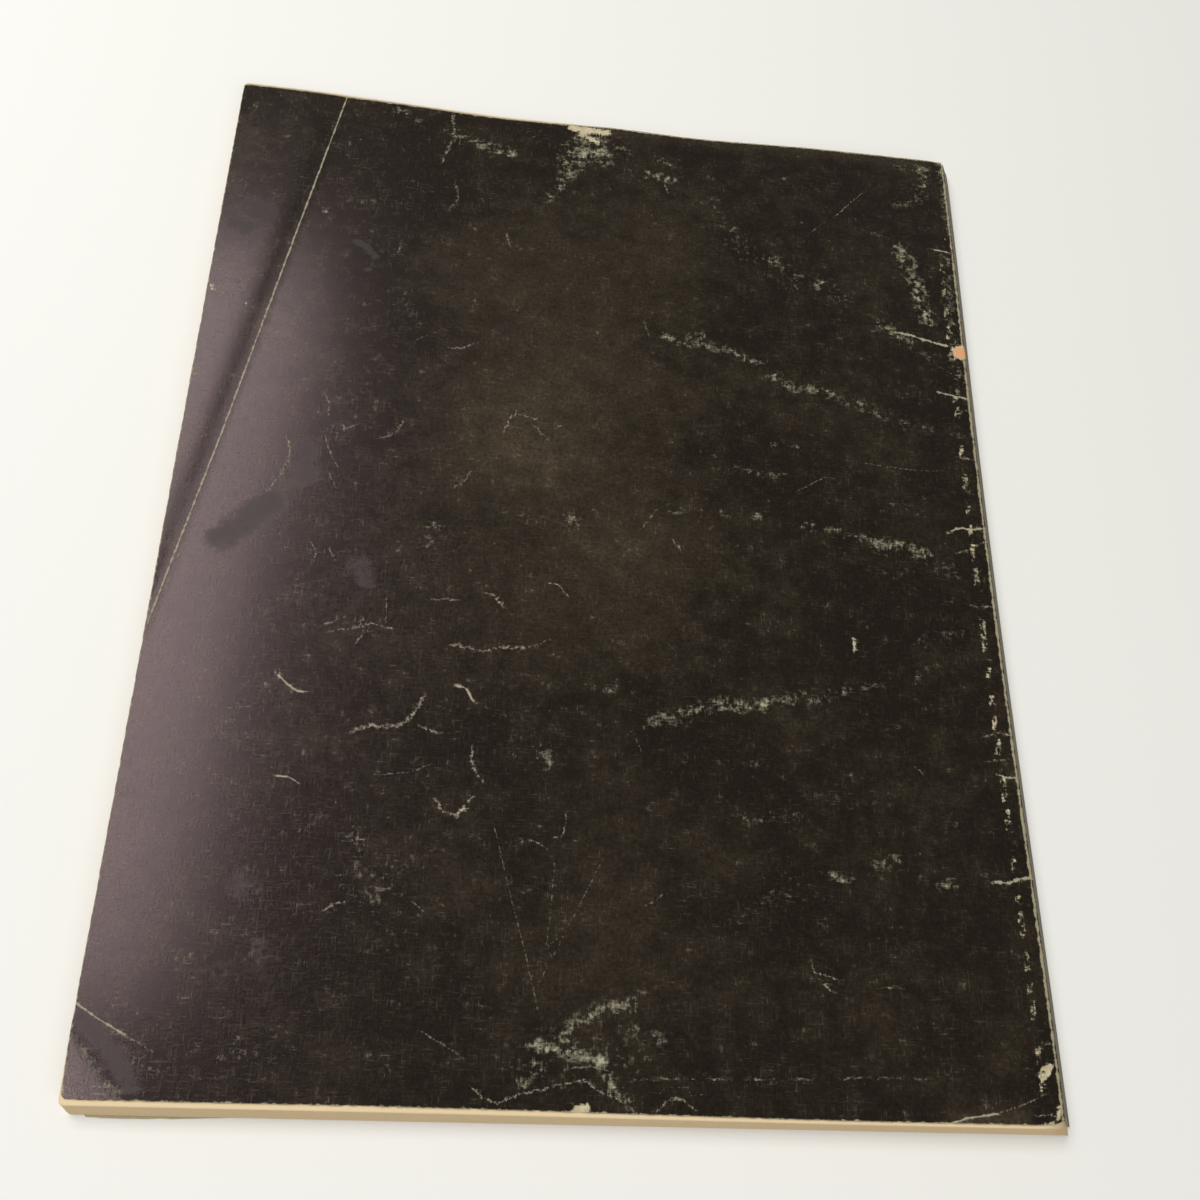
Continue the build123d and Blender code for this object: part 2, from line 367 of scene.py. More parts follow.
# Fine lines are (strength, width, place, ...): folds, cracks and scratches
longFoldLine = (0.99, 0.34, (30.3, 279.4), (20.4, 220), (10.5, 160), (0.5, 104.5))
cracked = [
    (0.6, 0.16, (5.2, 124), (1.6, 105)), (1.0, 0.3, (0.2, 18.6), (5, 15.8), (11, 12.8)),
    (0.6, 0.2, (11, 12.8), (16.5, 10)), (0.7, 0.2, (0.3, 2.9), (9, 2.6)),
    (0.6, 0.2, (0.3, 1.6), (8, 1.3)), (1.0, 0.35, (188, -0.4), (193, 1.2), (200, 2.2)),
    (0.7, 0.22, (200, 2.2), (206, 4), (211, 6)), (0.5, 0.25, (197.8, 2.6), (197.8, 5)),
    (0.8, 0.3, (210, 2), (213, 2.3), (215.5, 0.5)),
    (0.85, 0.38, (99, 4.4), (103, 5.6), (108, 6.4), (111, 4.5), (116, 2.5), (119, 0.4)),
    (0.7, 0.25, (105, 8.7), (109, 9.3), (113, 8.5)),
    (0.82, 0.38, (84.3, 3.9), (87, 1.8), (89.5, 1.5), (93, 3), (98, 4.2)),
    (0.82, 0.38, (124, 1.4), (127, 3.5), (129, 3.3), (131.5, 1.8)),
    # Pinpricks in a row beside the tail
    *[(0.8, 0.36, (x, 7 + (x - 120) * 0.035), (x + 1.1, 7.05 + (x - 120) * 0.035))
      for x in range(120, 170, 2)],
    *[(0.5, 0.3, (x, 8.9), (x + 1.2, 8.95)) for x in range(171, 184, 3)],
    (1.0, 0.3, (35.3, 69.3), (38, 69.2), (39.6, 68.3)),
    (0.9, 0.5, (72, 65), (74, 62.8), (77, 62.2), (80, 66)),
    (0.5, 0.14, (86, 59), (90, 45), (94, 32), (97, 21)),
    (0.5, 0.14, (100, 52), (99.3, 40), (98.8, 34)), (0.45, 0.14, (110.5, 52), (104, 39), (98, 27)),
    (0.8, 0.25, (93, 57.2), (95.5, 57), (97.6, 55.6)), (0.8, 0.3, (50, 40), (52.5, 41.2)),
    (0.6, 0.2, (69, 41.5), (70.5, 40.3)), (0.8, 0.2, (73, 14.7), (79.6, 11.3)),
    (0.7, 0.3, (100.3, 58.2), (101.8, 58.4), (102.4, 63)),
    (0.8, 0.3, (160, 32), (160.2, 30.3), (165, 29)), (0.8, 0.35, (162, 28), (164, 26.4)),
    (0.7, 0.3, (176, 27.3), (180, 27.5)), (0.6, 0.25, (122, 43.8), (125, 45.5)),
    (1.0, 0.55, (206, 52.3), (210, 52.2), (213, 53.6), (216, 53.5)),
    (0.9, 0.3, (211.5, 11), (215.6, 13)), (0.8, 0.3, (211.5, 15.5), (215.6, 17.5)),
    (1.0, 0.4, (32.3, 94), (35, 91.8), (37, 90.2), (39.5, 90)),
    (0.6, 0.25, (23.5, 85), (26.2, 85.4)),
    (0.9, 0.6, (51.5, 81), (55, 82.6), (60, 82.4), (63, 83.8), (65.5, 87), (67, 90)),
    (0.8, 0.5, (67.3, 83), (70.5, 82)), (1.0, 0.45, (74.5, 94), (77, 93.5), (79, 90.4)),
    (0.6, 0.3, (37, 128.5), (38, 127), (37.5, 125)), (0.6, 0.3, (41, 128), (42.2, 126)),
    (0.9, 0.3, (97, 123), (99, 122.5), (101, 120.3)),
    (0.9, 0.6, (81, 119), (83, 118.3), (84.6, 116.2)), (0.5, 0.4, (67.5, 116.4), (73, 116.6)),
    (0.6, 0.35, (42, 107.7), (45.5, 109.5)),
    (0.6, 0.35, (44, 106), (50, 107.5), (53, 108.8), (57.8, 107.6)),
    (0.7, 0.25, (51, 109), (51.3, 106), (50.3, 104)), (0.45, 0.2, (56, 116), (56.6, 110)),
    (0.8, 0.5, (73.3, 104.4), (77, 104), (80, 103.3), (85, 104.6), (92, 105.2)),
    (0.5, 0.3, (91, 104.8), (96, 107)), (0.6, 0.16, (60, 71), (66, 72), (69.5, 73.8)),
    (0.8, 0.5, (79.5, 78), (79.8, 74), (82, 71)), (0.7, 0.35, (129.2, 137.3), (130.6, 135.4)),
    (0.7, 0.3, (190, 79.3), (191.2, 78.2)), (0.5, 0.25, (119, 83.4), (119.8, 81.2)),
    (0.9, 0.4, (209, 89), (212, 89.8), (215.4, 89.5)), (0.8, 0.3, (209.5, 82.5), (213, 83)),
    (1.0, 0.4, (211, 79), (213, 78.4), (216, 78.4)), (0.9, 0.4, (210, 125), (214, 125)),
    (0.9, 0.45, (27, 158.6), (28, 156), (28, 153), (27, 149.5), (24.5, 144)),
    (0.6, 0.3, (35, 173.3), (36.3, 171), (36.6, 168)),
    (0.5, 0.25, (36.8, 160), (37.8, 156.5), (40.3, 152)), (0.6, 0.25, (39, 149), (40, 147)),
    (0.9, 0.4, (51.2, 161.7), (54, 162.8), (55.8, 166.6)),
    (0.8, 0.35, (40.4, 164.6), (41.3, 163), (43.2, 164.2)),
    (0.9, 0.35, (71.3, 149), (73, 149.8), (74, 152.2)),
    (0.7, 0.5, (83, 167.5), (84.5, 171.5), (86, 172.8), (91, 171.3)),
    (0.6, 0.45, (91.3, 168.6), (94, 165.8)), (0.7, 0.45, (66.4, 192), (70, 192), (72.6, 193.6)),
    (0.4, 0.2, (57.5, 193.5), (62, 196.2)),
    (1.0, 0.6, (195, 211.3), (200, 210.8), (204, 209.5), (211, 208)),
    (1.0, 0.45, (206.4, 191.9), (208.5, 191.3), (211, 191), (215.2, 190.2)),
    (0.9, 0.35, (211, 170.5), (215, 170)),
    (1.0, 0.5, (205.4, 146.4), (208, 148), (212, 147.8), (216, 148.6)),
    (0.8, 0.4, (208, 140.6), (211, 141.8), (214.5, 144)), (0.8, 0.22, (164, 156), (170.2, 159.9)),
    (0.5, 0.2, (184, 166), (196, 165), (204, 165.4)), (0.5, 0.3, (121, 141.4), (124, 146)),
    (0.5, 0.3, (121, 206), (122, 202.6)), (0.65, 0.7, (62, 277.6), (62.8, 271), (63, 269.5)),
    (0.8, 0.6, (63, 269.7), (66.6, 269.7)), (0.7, 0.6, (63, 269.4), (61.5, 264), (60, 259.6)),
    (0.5, 0.5, (64.5, 250), (65.6, 245), (63.6, 241)), (0.9, 0.45, (80.5, 232.4), (81.1, 229.8)),
    (0.6, 0.4, (50.5, 225.6), (50.3, 223)), (0.7, 0.2, (171, 245), (175.2, 249.2)),
    (0.9, 0.25, (180, 253.4), (184, 258), (188.2, 262.6)), (1.0, 0.4, (209.6, 243.6), (214.6, 243)),
    (0.6, 0.4, (126.3, 259.4), (127.5, 256.8)),
]
# The dashes of bare board along the score beside the spine: (from, to) up from the tail
spineDashes = [
    (7, 12), (14, 16), (22, 25), (27.5, 29), (32, 36), (39.5, 42), (43.5, 45.5), (48, 49.5),
    (56, 58.5), (65, 70), (72.5, 79), (84, 88.5), (91, 94.5), (97, 100.5), (105, 107), (112, 121),
    (131, 136), (139, 143), (146, 149), (153, 155), (160, 165), (171, 174), (184, 187), (189, 192),
    (203, 207), (211, 216), (219, 221.5), (226, 229), (231.5, 233), (236, 238),
]


def softField(x, y, marks, spread=1.0, least=1.1):
    # The reach never falls below the spacing of the points that carry it
    total = np.zeros_like(x)
    for strength, reach, *places in marks:
        distance = toPolyline(x, y, places)[0]
        total = np.maximum(total, strength * bump(distance, 0, max(reach * spread, least)))
    return total


def lineFields(x, y, marks):
    # Two layers, so that lines close to each other never share a point's offset
    noLine = (4.0, 0.0, 0.3)  # offset, strength and width
    nearLine = 4.5
    layers = [np.tile(noLine, (len(x), 1)) for _ in range(2)]
    taken = [np.zeros(len(x), bool) for _ in layers]
    for strength, width, *places in marks:
        distance, offset, past = toPolyline(x, y, places)
        near = distance < nearLine
        layer = 0 if not np.any(taken[0] & near) else 1
        fade = (1 - smooth(2.2, 4.2, np.abs(offset))) * (1 - smooth(0.1, 1.5, past))
        mine = near & (np.abs(offset) < np.where(taken[layer], np.abs(layers[layer][:, 0]), 2 * nearLine))
        values = np.stack([offset, strength * fade, np.full_like(x, width)], 1)
        layers[layer][mine] = values[mine]
        taken[layer] |= near
    return layers


print("wear marks placed:", len(rubbed) + len(bared) + len(cracked) + len(spineDashes))

# Printed card: dark brown ink under a thin varnish, rubbed through to the pale board
ink = {
    "dark": (0.0085, 0.0066, 0.0038, 1),
    "mid": (0.0245, 0.0195, 0.0118, 1),
    "warm": (0.0560, 0.0430, 0.0260, 1),
    "thread": tone(92, 84, 66),
    "rub": tone(102, 100, 80),
    "rubPale": tone(178, 174, 146),
    "line": tone(170, 163, 138),
    "board": tone(204, 197, 168),
    "boardTan": tone(186, 172, 138),
    "torn": tone(226, 160, 112),
    "edge": tone(158, 150, 120),
    "spineWorn": tone(116, 109, 90),
    # Colour of the dull smudges, also used for the painted shade by the bent corner at the tail
    "stain": (0.0170, 0.0185, 0.0175, 1),
    "redFleck": tone(88, 54, 40),
    "pit": (0.0060, 0.0045, 0.0035, 1),
    "glossy": 0.10,  # whole varnish, and where the grain breaks it up
    "broken": 0.28,
    "varnishTint": (1.0, 0.74, 0.77, 1.0),
    "varnish": 0.44,
    "foldAt": sheetWidth - 0.5,  # where the sheet turns down over the spine
    "edgeReach": 0.5,  # how far in from a cut edge the board shows
    "headExtra": 0.28,  # and further at the head
}


def makePrintedCard():
    material, tree, shader = newMaterial("printed_card")
    place = cardPlane(tree)
    split = addNode(tree, "ShaderNodeSeparateXYZ", {0: place})
    along, up = split.outputs[0], split.outputs[1]
    rub, bare, stain, warm = [
        attribute(tree, name).outputs["Fac"] for name in ("rub", "bare", "stain", "warm")]

    # Ink, uneven over a few centimetres, with the card's fibres telegraphing through
    cloud = noiseOf(tree, place, 0.03, 4.0, 0.6)
    mottle = noiseOf(tree, place, 0.16, 4.0, 0.62)
    fleck = noiseOf(tree, place, 0.75, 4.0, 0.68)
    fibreAlong = noiseOf(tree, stretched(tree, place, 0.3, 2.4), 1.0, 3.0, 0.65)
    fibreUp = noiseOf(tree, stretched(tree, place, 2.4, 0.26), 1.0, 3.0, 0.65)
    thread = calc(tree, "MAXIMUM", fibreAlong, fibreUp)
    fine = noiseOf(tree, place, 1.3, 3.0, 0.7)
    lightness = calc(tree, "MULTIPLY_ADD", mottle, 0.8, -0.72)
    lightness = calc(tree, "MULTIPLY_ADD", cloud, 0.9, lightness)
    warmth = calc(tree, "MULTIPLY_ADD", warm, 0.62, lightness, clamp=True)
    colour = mixColour(tree, ramp(tree, warmth, 0.0, 0.5), ink["dark"], ink["mid"])
    colour = mixColour(tree, ramp(tree, warmth, 0.4, 1.0), colour, ink["warm"])
    shade = calc(tree, "MULTIPLY_ADD", fine, 0.6, calc(tree, "MULTIPLY", fleck, 0.4))
    shade = ramp(tree, shade, 0.32, 0.68, 0.55, 1.5)
    shaded = scaled(tree, colour, shade)
    colour = mixColour(tree, ramp(tree, fleck, 0.62, 0.7, 0.0, 0.4), shaded, ink["redFleck"])
    threadShow = ramp(tree, mottle, 0.38, 0.66, 0.05, 0.42)
    threadShow = calc(tree, "MULTIPLY", ramp(tree, thread, 0.56, 0.72), threadShow)
    colour = mixColour(tree, threadShow, colour, ink["thread"])
    colour = mixColour(tree, ramp(tree, fine, 0.36, 0.28, 0.0, 0.7), colour, ink["pit"])
    # Dull smudges darken the ink and dull the varnish; by the bent corner at the tail the same mask
    # paints shade
    smudgeAndShade = calc(tree, "MULTIPLY_ADD", fleck, 0.5, calc(tree, "SUBTRACT", stain, 0.8))
    smudgeAndShade = calc(tree, "MULTIPLY_ADD", mottle, 0.8, smudgeAndShade)
    smudgeAndShade = ramp(tree, smudgeAndShade, 0.08, 0.5, 0.0, 0.8)
    colour = mixColour(tree, smudgeAndShade, colour, ink["stain"])

    # Dry rubbing: speckle that thickens where the marks are strong
    speckle = calc(tree, "MULTIPLY_ADD", fleck, 0.62, calc(tree, "MULTIPLY", thread, 0.38))
    patchy = noiseOf(tree, place, 0.34, 3.0, 0.6)
    everywhere = calc(tree, "MULTIPLY_ADD", patchy, 0.5, calc(tree, "MULTIPLY", mottle, 0.5))
    everywhere = ramp(tree, everywhere, 0.44, 0.68, 0.0, 0.56)
    patches = calc(tree, "MULTIPLY", rub, ramp(tree, patchy, 0.36, 0.6, 0.42, 1.15))
    rubAll = calc(tree, "MAXIMUM", patches, everywhere)
    level = calc(tree, "MULTIPLY_ADD", rubAll, 0.24, speckle)
    rubStrength = ramp(tree, rubAll, 0.0, 0.8, 0.2, 0.9)
    rubMask = calc(tree, "MULTIPLY", ramp(tree, level, 0.63, 0.79), rubStrength)
    rubColour = mixColour(tree, ramp(tree, level, 0.72, 0.9), ink["rub"], ink["rubPale"])
    colour = mixColour(tree, rubMask, colour, rubColour)

    # Cracks, folds and scratches
    wander = calc(tree, "MULTIPLY_ADD", noiseOf(tree, place, 0.45, 3.0, 0.65), 1.0, -0.5)
    breaks = ramp(tree, noiseOf(tree, place, 1.3, 3.0, 0.75), 0.44, 0.62, 0.0, 1.0)
    lineMask = None
    for layer in ("lineA", "lineB"):
        vector = attribute(tree, layer).outputs["Vector"]
        parts = addNode(tree, "ShaderNodeSeparateXYZ", {0: vector}).outputs
        solid = ramp(tree, parts[1], 0.96, 0.99)
        reachOut = calc(tree, "MULTIPLY", parts[2], ramp(tree, solid, 0.0, 1.0, 4.5, 0.5))
        wandered = calc(tree, "MULTIPLY_ADD", wander, reachOut, parts[0])
        thickness = calc(tree, "MULTIPLY", parts[2], ramp(tree, fleck, 0.36, 0.62, 0.1, 0.75))
        inside = calc(tree, "SUBTRACT", thickness, calc(tree, "ABSOLUTE", wandered))
        mask = ramp(tree, inside, -0.14, 0.1)
        whole = calc(tree, "MULTIPLY", solid, 0.85)
        whole = calc(tree, "MAXIMUM", whole, calc(tree, "MULTIPLY", breaks, 0.8))
        mask = calc(tree, "MULTIPLY", calc(tree, "MULTIPLY", mask, parts[1]), whole)
        lineMask = mask if lineMask is None else calc(tree, "MAXIMUM", lineMask, mask)
    colour = mixColour(tree, lineMask, colour, ink["line"])

    # Bare board at scuffs, along the cut edges and over the spine fold
    toHead = calc(tree, "SUBTRACT", sheetHeight - ink["headExtra"], up)
    toEdge = calc(tree, "MINIMUM", calc(tree, "MINIMUM", along, up), toHead)
    edgeNoise = noiseOf(tree, place, 0.55, 4.0, 0.7)
    reach = ramp(tree, edgeNoise, 0.42, 0.75, 0.08, ink["edgeReach"])
    edgeMask = ramp(tree, calc(tree, "SUBTRACT", reach, toEdge), -0.15, 0.15)
    fromFold = calc(tree, "ABSOLUTE", calc(tree, "SUBTRACT", along, ink["foldAt"]))
    foldReach = ramp(tree, edgeNoise, 0.36, 0.66, 0.04, 0.44)
    foldMask = ramp(tree, calc(tree, "SUBTRACT", foldReach, fromFold), -0.2, 0.1)
    onSpine = ramp(tree, calc(tree, "SUBTRACT", along, ink["foldAt"]), 0.3, 1.2)
    onSpine = calc(tree, "MULTIPLY", onSpine, ramp(tree, speckle, 0.34, 0.5, 0.25, 0.9))
    colour = mixColour(tree, onSpine, colour, ink["spineWorn"])
    borderMask = calc(tree, "MAXIMUM", edgeMask, foldMask)
    colour = mixColour(tree, borderMask, colour, ink["edge"])
    bareLevel = calc(tree, "MULTIPLY_ADD", bare, 0.55, speckle)
    bareMask = ramp(tree, bareLevel, 0.84, 0.98)
    boardColour = mixColour(tree, ramp(tree, edgeNoise, 0.4, 0.66), ink["boardTan"], ink["board"])
    boardColour = mixColour(tree, ramp(tree, bare, 1.0, 1.08), boardColour, ink["torn"])
    colour = mixColour(tree, bareMask, colour, boardColour)
    bareMask = calc(tree, "MAXIMUM", calc(tree, "MAXIMUM", bareMask, onSpine), borderMask)
    setInput(tree, shader, "Base Color", colour)

    # Varnish where the ink is whole, dry board where it isn't
    lost = calc(tree, "MAXIMUM", calc(tree, "MAXIMUM", rubMask, lineMask), bareMask)
    grainy = noiseOf(tree, place, 3.4, 3.0, 0.7)
    grainy = calc(tree, "MULTIPLY_ADD", grainy, 0.6, calc(tree, "MULTIPLY", thread, 0.4))
    sheen = ramp(tree, grainy, 0.4, 0.64, ink["glossy"], ink["broken"])
    sheen = calc(tree, "MULTIPLY_ADD", smudgeAndShade, 0.3, sheen)
    rough = calc(tree, "MULTIPLY_ADD", lost, 0.6, sheen, clamp=True)
    setInput(tree, shader, "Roughness", rough)
    shader.inputs["Specular Tint"].default_value = ink["varnishTint"]
    shader.inputs["Specular IOR Level"].default_value = ink["varnish"]

    # Felt-like grain, with worn places sunk and fold lines raised
    grain = calc(tree, "MULTIPLY_ADD", thread, 0.6, noiseOf(tree, place, 1.8, 3.0, 0.6))
    under = bumped(tree, shader, grain, 0.022, 0.6)
    marksHeight = calc(tree, "MAXIMUM", lineMask, calc(tree, "MULTIPLY", bareMask, -0.5))
    bumped(tree, shader, marksHeight, 0.06, 0.8, under)
    return material


# Inside of the cover card: uncoated, yellowed from the edges in
inside = {
    "middle": tone(214, 198, 160),
    "edge": tone(176, 160, 126),
    "foxing": tone(160, 118, 74),
    "fibre": tone(232, 220, 190),
}


def makeInsideCard():
    material, tree, shader = newMaterial("inside_card")
    place = cardPlane(tree)
    split = addNode(tree, "ShaderNodeSeparateXYZ", {0: place})
    along, up = split.outputs[0], split.outputs[1]
    toHead = calc(tree, "SUBTRACT", sheetHeight, up)
    toEdge = calc(tree, "MINIMUM", calc(tree, "MINIMUM", along, up), toHead)
    drift = noiseOf(tree, place, 0.03, 4.0, 0.6)
    yellowing = calc(tree, "MULTIPLY_ADD", drift, 26.0, calc(tree, "SUBTRACT", toEdge, 13.0))
    colour = mixColour(tree, ramp(tree, yellowing, 0.0, 22.0), inside["edge"], inside["middle"])
    spots = ramp(tree, noiseOf(tree, place, 0.16, 5.0, 0.75), 0.64, 0.78, 0.0, 0.35)
    colour = mixColour(tree, spots, colour, inside["foxing"])
    fibres = noiseOf(tree, stretched(tree, place, 0.5, 3.0), 1.0, 3.0, 0.6)
    colour = mixColour(tree, ramp(tree, fibres, 0.5, 0.75, 0.0, 0.25), colour, inside["fibre"])
    setInput(tree, shader, "Base Color", colour)
    shader.inputs["Roughness"].default_value = 0.85
    shader.inputs["Specular IOR Level"].default_value = 0.25
    bumped(tree, shader, noiseOf(tree, place, 2.0, 4.0, 0.65), 0.04, 0.5)
    return material


# Paper of the pages: newsprint, cream inside and tanned at the edges
paper = {
    "page": tone(229, 214, 182),
    "margin": tone(227, 204, 166),
    "edge": tone(172, 124, 78),
    "edgePale": tone(212, 166, 118),
    "nick": tone(120, 84, 50),
    "fibre": tone(176, 150, 112),
}


def makePaper():
    material, tree, shader = newMaterial("newsprint")
    coords = addNode(tree, "ShaderNodeTexCoord", {}).outputs["Object"]
    place = scaled(tree, coords, 1 / mm)
    toEdge = attribute(tree, "toEdge").outputs["Fac"]
    leaf = attribute(tree, "leafTone").outputs["Fac"]
    rim = attribute(tree, "rim").outputs["Fac"]
    fibres = noiseOf(tree, place, 1.6, 4.0, 0.7)
    drift = noiseOf(tree, place, 0.04, 3.0, 0.6)
    toning = calc(tree, "MULTIPLY_ADD", drift, 16.0, calc(tree, "SUBTRACT", toEdge, 9.0))
    face = mixColour(tree, ramp(tree, toning, 0.0, 16.0), paper["margin"], paper["page"])
    face = mixColour(tree, ramp(tree, fibres, 0.55, 0.8, 0.0, 0.3), face, paper["fibre"])
    cut = mixColour(tree, leaf, paper["edge"], paper["edgePale"])
    streak = noiseOf(tree, stretched(tree, place, 0.03, 0.03), 1.3, 3.0, 0.7)
    cut = mixColour(tree, ramp(tree, streak, 0.42, 0.6, 0.0, 0.75), cut, paper["edge"])
    nicks = ramp(tree, noiseOf(tree, place, 0.4, 2.0, 0.5), 0.66, 0.72)
    nicks = calc(tree, "MULTIPLY", nicks, leaf)
    cut = mixColour(tree, calc(tree, "MULTIPLY", nicks, 0.6), cut, paper["nick"])
    colour = mixColour(tree, ramp(tree, rim, 0.35, 0.65), face, cut)
    setInput(tree, shader, "Base Color", colour)
    shader.inputs["Roughness"].default_value = 0.9
    shader.inputs["Specular IOR Level"].default_value = 0.2
    bumped(tree, shader, fibres, 0.03, 0.5)
    return material


glue = {
    "dark": tone(170, 134, 84),
    "light": tone(214, 192, 142),
    "thickness": 0.36,
    "ripple": 0.03,
    "endGap": 1.0,  # short of the CAD film at the head and the tail
    "rows": 60,
    "columns": 5,
}


def makeGlue():
    material, tree, shader = newMaterial("aged_glue")
    place = addNode(tree, "ShaderNodeTexCoord", {}).outputs["Object"]
    cloud = noiseOf(tree, place, 300.0, 4.0, 0.6)
    setInput(tree, shader, "Base Color", mixColour(tree, cloud, glue["dark"], glue["light"]))
    setInput(tree, shader, "Roughness", calc(tree, "MULTIPLY_ADD", cloud, 0.2, 0.4))
    bumped(tree, shader, cloud, 0.08, 0.6)
    return material


printedCard = makePrintedCard()
insideCard = makeInsideCard()
newsprint = makePaper()
agedGlue = makeGlue()
print("materials made")


# Shape of the closed book, in mm. Every function takes places on the flat sheet: s along the
# width from the fore-edge, and v up from the tail.
shape = {
    "pressedIn": 0.44,  # how far the middle of the back cover lies below the spine
    "rolling": 0.045,  # gentle waves in the cover
    "flapRise": 0.42,  # beyond the long diagonal fold, towards the fore-edge
    "flapReach": 6.5,
    "cornerDroop": 0.05,  # slope of the bent corner by the tail
    "headDip": 1.7,  # the head edge is uneven
    "tailOut": 0.5,  # the tail edge stands out a little, more towards the spine
    "tailSag": 0.8,
    "wornSpineEnd": 1.4,
}
longFold = ((30.3, sheetHeight), (0.5, 104.5))
cornerEdge = ((0.5, 12.5), (12.5, 0.2))
farCornerFold = ((188.0, -0.4), (211.0, 6.0))


def bowAt(v):
    return book["spineBow"] * np.sin(math.pi * np.clip(v / sheetHeight, 0, 1)) ** 1.5


def headEdge(s):
    dips = bump(s, 78, 30) + 0.75 * bump(s, 137, 24)
    return -shape["headDip"] * dips - 0.45 * (1 - smooth(98, 112, s))


def coverHeight(s, v):
    # Height of the back cover's outer face above the table
    z = bookTop - book["headroom"] - shape["pressedIn"] * (1 - smooth(150, sheetWidth - 6, s))
    calm = 1 - smooth(170, 205, s)
    z = z + shape["rolling"] * waves(s, v, 75, 3) * calm
    beyond = np.maximum(-lineSide(s, v, *longFold), 0) * smooth(100, 112, v)
    z = z + shape["flapRise"] * np.tanh(beyond / shape["flapReach"])
    z = z + 0.05 * bump(lineSide(s, v, *longFold), 0, 0.7) * smooth(100, 106, v)
    dropped = np.maximum(-lineSide(s, v, *cornerEdge), 0)
    z = z - shape["cornerDroop"] * dropped
    turned = np.maximum(-lineSide(s, v, *farCornerFold), 0) * smooth(186, 194, s)
    z = z - 0.04 * turned
    z = z - 0.05 * np.maximum(v - (sheetHeight - 3.4), 0) * smooth(100, 120, s)
    return np.minimum(z, bookTop - 0.005)


def backPlace(s, v):
    # The back cover, over the fold and down the spine to just above the table
    r = book["foldRadius"]
    tangent = r * math.tan(spineSlope / 2)
    flatEnd = sheetWidth - tangent
    arc = r * spineSlope
    turn = np.clip((s - flatEnd) / r, 0, spineSlope)
    down = np.maximum(s - flatEnd - arc, 0)
    x = backLow.x + np.minimum(s, flatEnd) + r * np.sin(turn) + down * math.cos(spineSlope)
    z = coverHeight(np.minimum(s, flatEnd), v)
    z = z - r * (1 - np.cos(turn)) - down * math.sin(spineSlope)
    x = x - bowAt(v) * smooth(60, sheetWidth, s)
    x = x + 0.3 * bump(v, 0, 8) * (1 - smooth(0, 30, s)) + 0.12 * (1 - smooth(0, 3, s))
    nearHead = smooth(sheetHeight - 60, sheetHeight, v)
    nearTail = 1 - smooth(0, 40, v)
    tailEdge = shape["tailOut"] + shape["tailSag"] * smooth(60, 180, s)
    y = backLow.y + v + headEdge(s) * nearHead - tailEdge * nearTail
    spineEnd = bump(s, sheetWidth + 1.5, 3.0)
    y = y + shape["wornSpineEnd"] * spineEnd * (bump(v, 0, 5) - bump(v, sheetHeight, 5))
    return x, y, z


def backSheetEnd():
    # Where the sheet down the spine meets the fold at its foot
    r = book["foldRadius"]
    face = math.hypot(frontSpineX - backSpineX, bookTop)
    atTop = r * math.tan(spineSlope / 2)
    atFoot = book["footRadius"] * math.tan((math.pi - spineSlope) / 2)
    return sheetWidth - atTop + r * spineSlope + face - atTop - atFoot


def frontPlace(s, v):
    # The front cover, lying on the table, and the fold up to the spine
    r = book["footRadius"]
    bend = math.pi - spineSlope
    flatEnd = sheetWidth - r * math.tan(bend / 2)
    turn = np.clip((s - flatEnd) / r, 0, bend)
    x = frontLow.x + np.minimum(s, flatEnd) + r * np.sin(turn)
    lifted = np.maximum(1 + waves(s, v, 60, 8), 0) * (1 - smooth(150, 200, s))
    z = 0.005 + r * (1 - np.cos(turn)) + 0.03 * lifted
    x = x - bowAt(v) * smooth(60, sheetWidth, s) + 0.25 * bump(v, 0, 10) * (1 - smooth(0, 20, s))
    nearTail = 1 - smooth(0, 40, v)
    y = frontLow.y + v - (0.2 + 0.95 * (1 - smooth(12, 45, s))) * nearTail
    spineEnd = bump(s, sheetWidth, 3.0)
    y = y + shape["wornSpineEnd"] * spineEnd * (bump(v, 0, 5) - bump(v, sheetHeight, 5))
    return x, y, z


def gridLines(length, step):
    # Even lines across a sheet, closer together at both edges
    edge = [0.3, 0.8, 1.6, 2.6]
    margin = 3.8
    inner = np.linspace(margin, length - margin, int((length - 2 * margin) / step) + 1)
    return np.array([0.0, *edge, *inner, *[length - e for e in reversed(edge)], length])


sheet = {
    "backStep": 1.2,  # spacing of the points that shape a cover and carry its wear
    "frontStep": 2.4,
    "cornerRadius": 1.6,
    "raggedEdge": 0.09,
}


